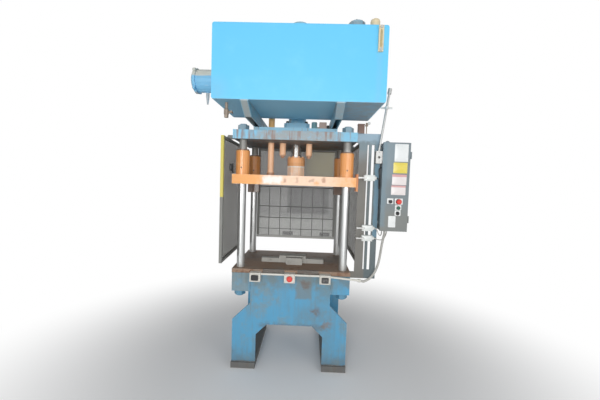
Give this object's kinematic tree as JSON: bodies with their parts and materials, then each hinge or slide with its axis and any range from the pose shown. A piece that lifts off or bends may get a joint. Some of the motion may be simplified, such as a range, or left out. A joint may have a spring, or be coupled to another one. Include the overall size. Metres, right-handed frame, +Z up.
{
  "type": "four-post hydraulic press",
  "caption": "Tall hydraulic press with a guided orange platen between chrome posts, a blue oil tank overhead, side guards and a control box.",
  "frame": {"origin": "on the floor, in the middle of the machine's bounding box", "axes": "+Z up the posts; the front with the push buttons faces -Y; the control box stands at +X"},
  "size_m": [1.7856, 1.3424, 3.148],
  "materials": {
    "tank_blue": "semi-gloss sky blue with thin rust runs",
    "frame_blue": "worn blue with rust and grey patches",
    "orange": "faded orange with bare patches",
    "chrome_steel": "hard chromed, lightly oiled",
    "bare_steel": "bare machined steel",
    "rusty_steel": "bare steel with brown rust",
    "galvanised": "galvanised, dull",
    "box_grey": "grey-blue enamel",
    "guard_grey": "old dark grey paint",
    "switch_cast": "pale enamelled casting",
    "black": "black moulded",
    "red": "red moulded",
    "green": "dark green moulded",
    "bronze": "dull bronze",
    "tan": "aged tan",
    "motor_cream": "cream over blue paint",
    "valve_brown": "brown"
  },
  "bodies": {
    "frame": {"base_frame": "frame_blue", "bed_plate": "rusty_steel", "die_block": "bare_steel", "post_front_left": "chrome_steel", "post_rear_left": "chrome_steel", "post_front_right": "chrome_steel", "post_rear_right": "chrome_steel", "crown_plate": "frame_blue", "top_plate": "frame_blue", "knockout_stop_left": "orange", "knockout_stop_right": "orange", "cylinder": "frame_blue", "tank_cover": "tank_blue", "tank_beam_left": "frame_blue", "tank_beam_right": "frame_blue", "tank_body": "tank_blue", "strainer_lid": "frame_blue", "level_gauge": "tan", "drain_valve": "bronze", "motor_body": "motor_cream", "motor_end_bell": "motor_cream", "pump_body": "bare_steel", "valve_block": "valve_brown", "switch_stand": "frame_blue", "limit_switch_upper": "switch_cast", "limit_switch_slow": "switch_cast", "limit_switch_bottom": "switch_cast", "toggle_box": "galvanised", "guard_left": "guard_grey", "guard_right": "guard_grey", "guard_rear": "guard_grey", "control_box": "box_grey", "button_rail": "galvanised", "flexible_conduit": "galvanised", "switch_cable": "black"},
    "ram": {"ram_rod": "chrome_steel", "coupling_ring": "orange", "coupling_block": "orange", "platen": "orange", "guide_bushing_front_left": "orange", "guide_bushing_rear_left": "orange", "guide_bushing_front_right": "orange", "guide_bushing_rear_right": "orange", "stop_rod": "orange", "trip_tab": "orange"},
    "filler_cap_body": {"filler_cap": "tan"},
    "drain_handle_body": {"drain_handle": "bronze"},
    "motor_rotor_body": {"motor_rotor": "bare_steel"},
    "switch_arm_upper_body": {"switch_arm_upper": "galvanised"},
    "switch_arm_slow_body": {"switch_arm_slow": "galvanised"},
    "switch_arm_bottom_body": {"switch_arm_bottom": "galvanised"},
    "toggle_lever_body": {"toggle_lever": "bare_steel"},
    "control_door_body": {"control_door": "box_grey"},
    "door_button_start_body": {"door_button_start": "black"},
    "door_stop_body": {"door_stop": "red"},
    "door_button_green_body": {"door_button_green": "green"},
    "door_selector_body": {"door_selector": "black"},
    "palm_button_left_body": {"palm_button_left": "black"},
    "stop_button_body": {"stop_button": "red"},
    "palm_button_right_body": {"palm_button_right": "black"}
  },
  "joints": [
    {"name": "ram_stroke", "type": "slide", "parent": "frame", "child": "ram", "axis": [0, 0, -1], "range_m": [0, 0.508]},
    {"name": "door_hinge", "type": "hinge", "parent": "frame", "child": "control_door_body", "pos_m": [0.8868, -0.13615, 1.64], "axis": [0, 0, 1], "range_deg": [0, 110]},
    {"name": "door_button_start_push", "type": "slide", "parent": "control_door_body", "child": "door_button_start_body", "axis": [0, 1, 0], "range_m": [0, 0.004], "stiffness_N_per_m": 500, "springref_m": -0.002},
    {"name": "door_stop_push", "type": "slide", "parent": "control_door_body", "child": "door_stop_body", "axis": [0, 1, 0], "range_m": [0, 0.004], "stiffness_N_per_m": 500, "springref_m": -0.002},
    {"name": "door_button_green_push", "type": "slide", "parent": "control_door_body", "child": "door_button_green_body", "axis": [0, 1, 0], "range_m": [0, 0.004], "stiffness_N_per_m": 500, "springref_m": -0.002},
    {"name": "door_selector_turn", "type": "hinge", "parent": "control_door_body", "child": "door_selector_body", "pos_m": [0.79427, -0.14315, 1.41829], "axis": [0, 1, 0], "range_deg": [-45, 45]},
    {"name": "palm_button_left_push", "type": "slide", "parent": "frame", "child": "palm_button_left_body", "axis": [0, 1, 0], "range_m": [0, 0.004], "stiffness_N_per_m": 500, "springref_m": -0.002},
    {"name": "stop_button_push", "type": "slide", "parent": "frame", "child": "stop_button_body", "axis": [0, 1, 0], "range_m": [0, 0.004], "stiffness_N_per_m": 500, "springref_m": -0.002},
    {"name": "palm_button_right_push", "type": "slide", "parent": "frame", "child": "palm_button_right_body", "axis": [0, 1, 0], "range_m": [0, 0.004], "stiffness_N_per_m": 500, "springref_m": -0.002},
    {"name": "switch_arm_upper_swing", "type": "hinge", "parent": "frame", "child": "switch_arm_upper_body", "pos_m": [0.5151, -0.12945, 1.712], "axis": [0, 1, 0], "range_deg": [-25, 25], "stiffness_Nm_per_rad": 0.8},
    {"name": "switch_arm_slow_swing", "type": "hinge", "parent": "frame", "child": "switch_arm_slow_body", "pos_m": [0.5151, -0.12945, 1.28], "axis": [0, 1, 0], "range_deg": [-25, 25], "stiffness_Nm_per_rad": 0.8},
    {"name": "switch_arm_bottom_swing", "type": "hinge", "parent": "frame", "child": "switch_arm_bottom_body", "pos_m": [0.5151, -0.12945, 1.192], "axis": [0, 1, 0], "range_deg": [-25, 25], "stiffness_Nm_per_rad": 0.8},
    {"name": "toggle_flip", "type": "hinge", "parent": "frame", "child": "toggle_lever_body", "pos_m": [0.6211, -0.11815, 1.89], "axis": [1, 0, 0], "range_deg": [-12, 12]},
    {"name": "drain_turn", "type": "hinge", "parent": "frame", "child": "drain_handle_body", "pos_m": [-0.5424, -0.55285, 2.1422], "axis": [1, 0, 0], "range_deg": [0, 90]},
    {"name": "filler_cap_lift", "type": "slide", "parent": "frame", "child": "filler_cap_body", "axis": [0, 0, 1], "range_m": [0, 0.06]},
    {"name": "motor_spin", "type": "hinge", "parent": "frame", "child": "motor_rotor_body", "pos_m": [-0.785, -0.34485, 2.418], "axis": [1, 0, 0], "continuous": true}
  ]
}
